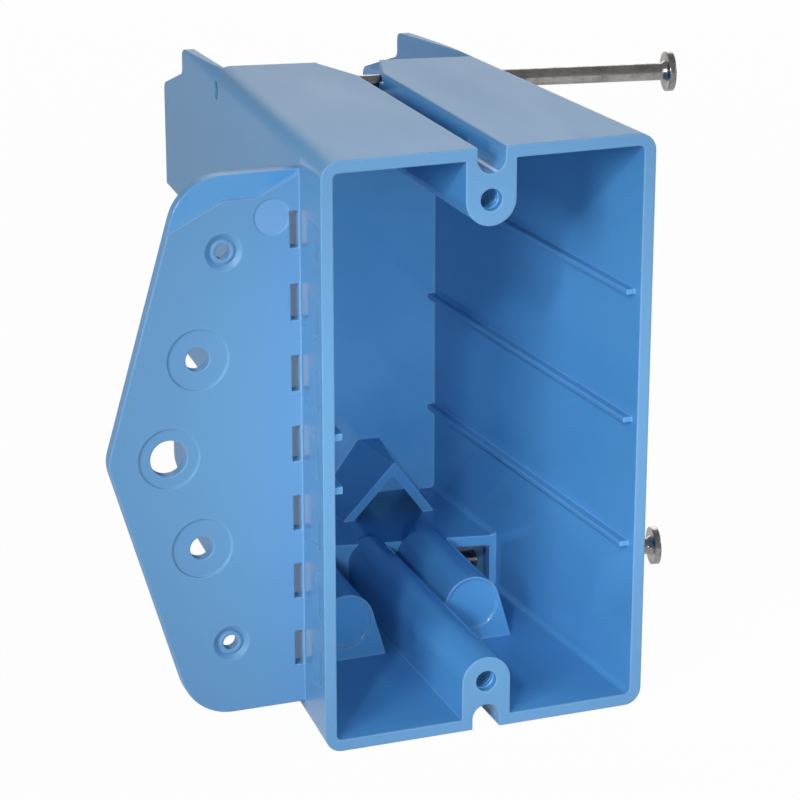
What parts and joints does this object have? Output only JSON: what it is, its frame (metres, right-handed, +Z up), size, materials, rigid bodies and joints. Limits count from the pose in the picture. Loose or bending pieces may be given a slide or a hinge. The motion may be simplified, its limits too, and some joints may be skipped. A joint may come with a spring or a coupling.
{
  "type": "new work outlet box",
  "caption": "Deep plastic wall box, open at the front, with ribs, screw bosses, cable hoods, a nailing bracket on the left and a nail through each end.",
  "frame": {"origin": "middle of the two device screw holes, on the plane of the front rim", "axes": "+Y into the box, +X to the right of a person who looks into it, +Z up"},
  "size_m": [0.1191, 0.114, 0.1006],
  "materials": {
    "blue_plastic": "moulded, semi-gloss",
    "nail_steel": "bright drawn wire"
  },
  "bodies": {
    "root": {"box_body": "blue_plastic", "upper_nail": "nail_steel", "lower_nail": "nail_steel"}
  },
  "joints": []
}
